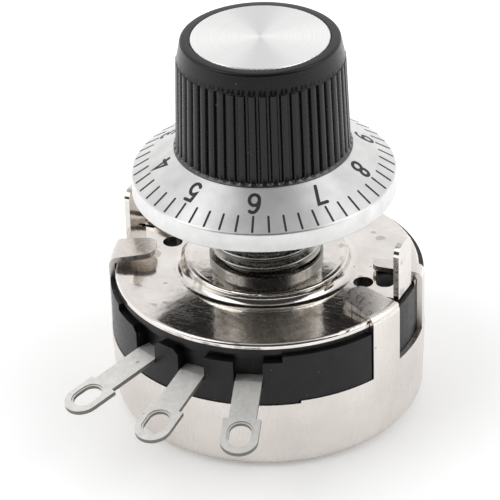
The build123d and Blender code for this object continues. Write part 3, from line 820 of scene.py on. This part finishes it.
steel = plain_metal("bare_steel", (0.42, 0.41, 0.40), (0.56, 0.55, 0.54), 0.25, 0.4)
dress_node(can_nickel(), "rear_cup")
dress_node(plate_nickel(), "front_plate")
dress_node(phenolic_black(), "phenolic_base")
dress_node(tinned(), "terminal_left", "terminal_centre", "terminal_right", "terminal_rivets")
dress_node(spun_aluminium(), "knob_cap_disc")
dress_node(dial_aluminium(), "dial_plate")
dress_node(steel, "shaft", "thrust_washer", "retaining_ring")
blackened = plain_metal("blackened_steel", (0.05, 0.05, 0.055), (0.09, 0.09, 0.095), 0.3, 0.45)
dress_node(blackened, "set_screw")
brass = plain_metal("brass", (0.62, 0.46, 0.22), (0.74, 0.58, 0.32), 0.22, 0.38)
dress_node(brass, "knob_insert")
silver = plain_metal("silver", (0.72, 0.70, 0.66), (0.85, 0.84, 0.81), 0.2, 0.35)
dress_node(silver, "collector_ring", "track_end_pads")
bronze = plain_metal("bronze", (0.55, 0.36, 0.2), (0.68, 0.48, 0.3), 0.25, 0.4)
dress_node(bronze, "wiper_spring")
laminate = inner_board("laminate", (0.16, 0.07, 0.03), (0.26, 0.13, 0.06))
dress_node(laminate, "element_board", "rotor_carrier")
fibre = inner_board("fibre", (0.30, 0.10, 0.06), (0.42, 0.16, 0.10))
dress_node(fibre, "insulating_disc")
carbon = inner_board("carbon", (0.01, 0.01, 0.01), (0.03, 0.03, 0.03))
dress_node(carbon, "resistive_track", "wiper_brush", "collector_brush")
dress(knob_plastic(), "knob_ribbed")
dress_node(dial_backing_black(), "dial_backing")
dress(bushing_nickel(), "bushing_threaded")
dress(dial_paint(), "dial_digits", "dial_ticks")


# ---------------------------------------------------------------- floor
def make_floor():
    """Plain white floor just under the can, glowing as painted light that grows brighter away from
    the object.
    """
    half = 700
    drop = 0.01  # keeps the floor clear of the can's face
    mesh = bpy.data.meshes.new("floor")
    corners = [(-half, -half), (half, -half), (half, half), (-half, half)]
    mesh.from_pydata([(x * MM, y * MM, -drop * MM) for x, y in corners], [], [(0, 1, 2, 3)])
    made = bpy.data.objects.new("floor", mesh)
    bpy.context.scene.collection.objects.link(made)
    surface = Surface("floor_white")
    cloud = surface.noise(surface.place(), 0.01, detail=2)
    surface.colour(surface.ramp(cloud, (0.3, (0.88, 0.88, 0.875)), (0.7, (0.90, 0.90, 0.895))))
    surface.rough(surface.spread(cloud, 0.5, 0.6))
    surface.shader.inputs["Emission Color"].default_value = (1, 1, 1, 1)
    # Painted light: the floor glows, least near the can and more further out.
    painted_glow = surface.spread(surface.distance_from_shaft(), 0.2, 0.6, 14, 50)
    surface.feed(surface.shader.inputs["Emission Strength"], painted_glow)
    mesh.materials.append(surface.material)


make_floor()


# ---------------------------------------------------------------- light
camera_turn = 25.0
camera_azimuth = radians(camera_turn)


def make_world():
    """White tent: bright all round, dimmer straight above and behind the camera."""
    world = bpy.data.worlds.new("tent")
    bpy.context.scene.world = world
    world.use_nodes = True
    tree = world.node_tree
    background = tree.nodes["Background"]
    coordinates = tree.nodes.new("ShaderNodeTexCoord")
    split = tree.nodes.new("ShaderNodeSeparateXYZ")
    ramp = tree.nodes.new("ShaderNodeValToRGB")
    tree.links.new(coordinates.outputs["Generated"], split.inputs["Vector"])
    tree.links.new(split.outputs["Z"], ramp.inputs["Fac"])
    tree.links.new(ramp.outputs["Color"], background.inputs["Color"])
    first, second = ramp.color_ramp.elements
    first.position, first.color = 0.45, (1.0, 1.0, 1.0, 1)
    second.position, second.color = 0.95, (0.60, 0.60, 0.61, 1)
    towards_camera = tree.nodes.new("ShaderNodeVectorMath")
    towards_camera.operation = "DOT_PRODUCT"
    tree.links.new(coordinates.outputs["Generated"], towards_camera.inputs[0])
    towards_camera.inputs[1].default_value = (sin(camera_azimuth), -cos(camera_azimuth), 0)
    dimming = tree.nodes.new("ShaderNodeMapRange")
    tree.links.new(towards_camera.outputs["Value"], dimming.inputs["Value"])
    for socket, number in (("From Min", 0.2), ("From Max", 0.62), ("To Min", 1.08), ("To Max", 0.05)):
        dimming.inputs[socket].default_value = number
    tree.links.new(dimming.outputs["Result"], background.inputs["Strength"])


def add_softbox(name, azimuth, elevation, distance, size, power):
    """Area light that looks at the middle of the object, placed as the views are."""
    light = bpy.data.lights.new(name, "AREA")
    light.shape = "RECTANGLE"
    light.size, light.size_y = (part * MM for part in size)
    light.energy = power
    made = bpy.data.objects.new(name, light)
    around, above = radians(azimuth), radians(elevation)
    out = Vector((sin(around) * cos(above), -cos(around) * cos(above), sin(above)))
    made.location = out * distance * MM + UP * 15 * MM
    made.rotation_mode = "QUATERNION"
    made.rotation_quaternion = out.to_track_quat("Z", "Y")
    bpy.context.scene.collection.objects.link(made)


make_world()
add_softbox("softbox_left", camera_turn - 70, 45, 500, (350, 350), 0.55)
add_softbox("softbox_right", camera_turn + 75, 40, 500, (350, 350), 0.5)


# ---------------------------------------------------------------- camera
camera_elevation = radians(31.51)
camera_distance = 250.2
camera_lens = 198.9
camera_pan = radians(-0.34)
camera_tilt = radians(-0.25)
camera_roll = radians(1.68)
lug_height = 5.2  # above the front plate's face
plate_face = plate_high.z - lug_height


def make_camera():
    """Long lens from the front, a little above and to the right of the terminals."""
    right = Vector((cos(camera_azimuth), sin(camera_azimuth), 0))
    back = Vector(
        (
            sin(camera_azimuth) * cos(camera_elevation),
            -cos(camera_azimuth) * cos(camera_elevation),
            sin(camera_elevation),
        )
    )
    upright = Matrix((right, back.cross(right), back)).transposed()
    aim = (
        Matrix.Rotation(camera_roll, 3, "Z")
        @ Matrix.Rotation(camera_tilt, 3, "X")
        @ Matrix.Rotation(camera_pan, 3, "Y")
    )
    data = bpy.data.cameras.new("camera")
    data.sensor_width = 36
    data.lens = camera_lens
    data.clip_start = 10 * MM
    data.clip_end = 10
    made = bpy.data.objects.new("camera", data)
    place = (back * camera_distance + UP * plate_face) * MM
    made.matrix_world = Matrix.Translation(place) @ (upright @ aim.transposed()).to_4x4()
    bpy.context.scene.collection.objects.link(made)
    bpy.context.scene.camera = made


make_camera()
bpy.context.scene.view_settings.view_transform = "Standard"
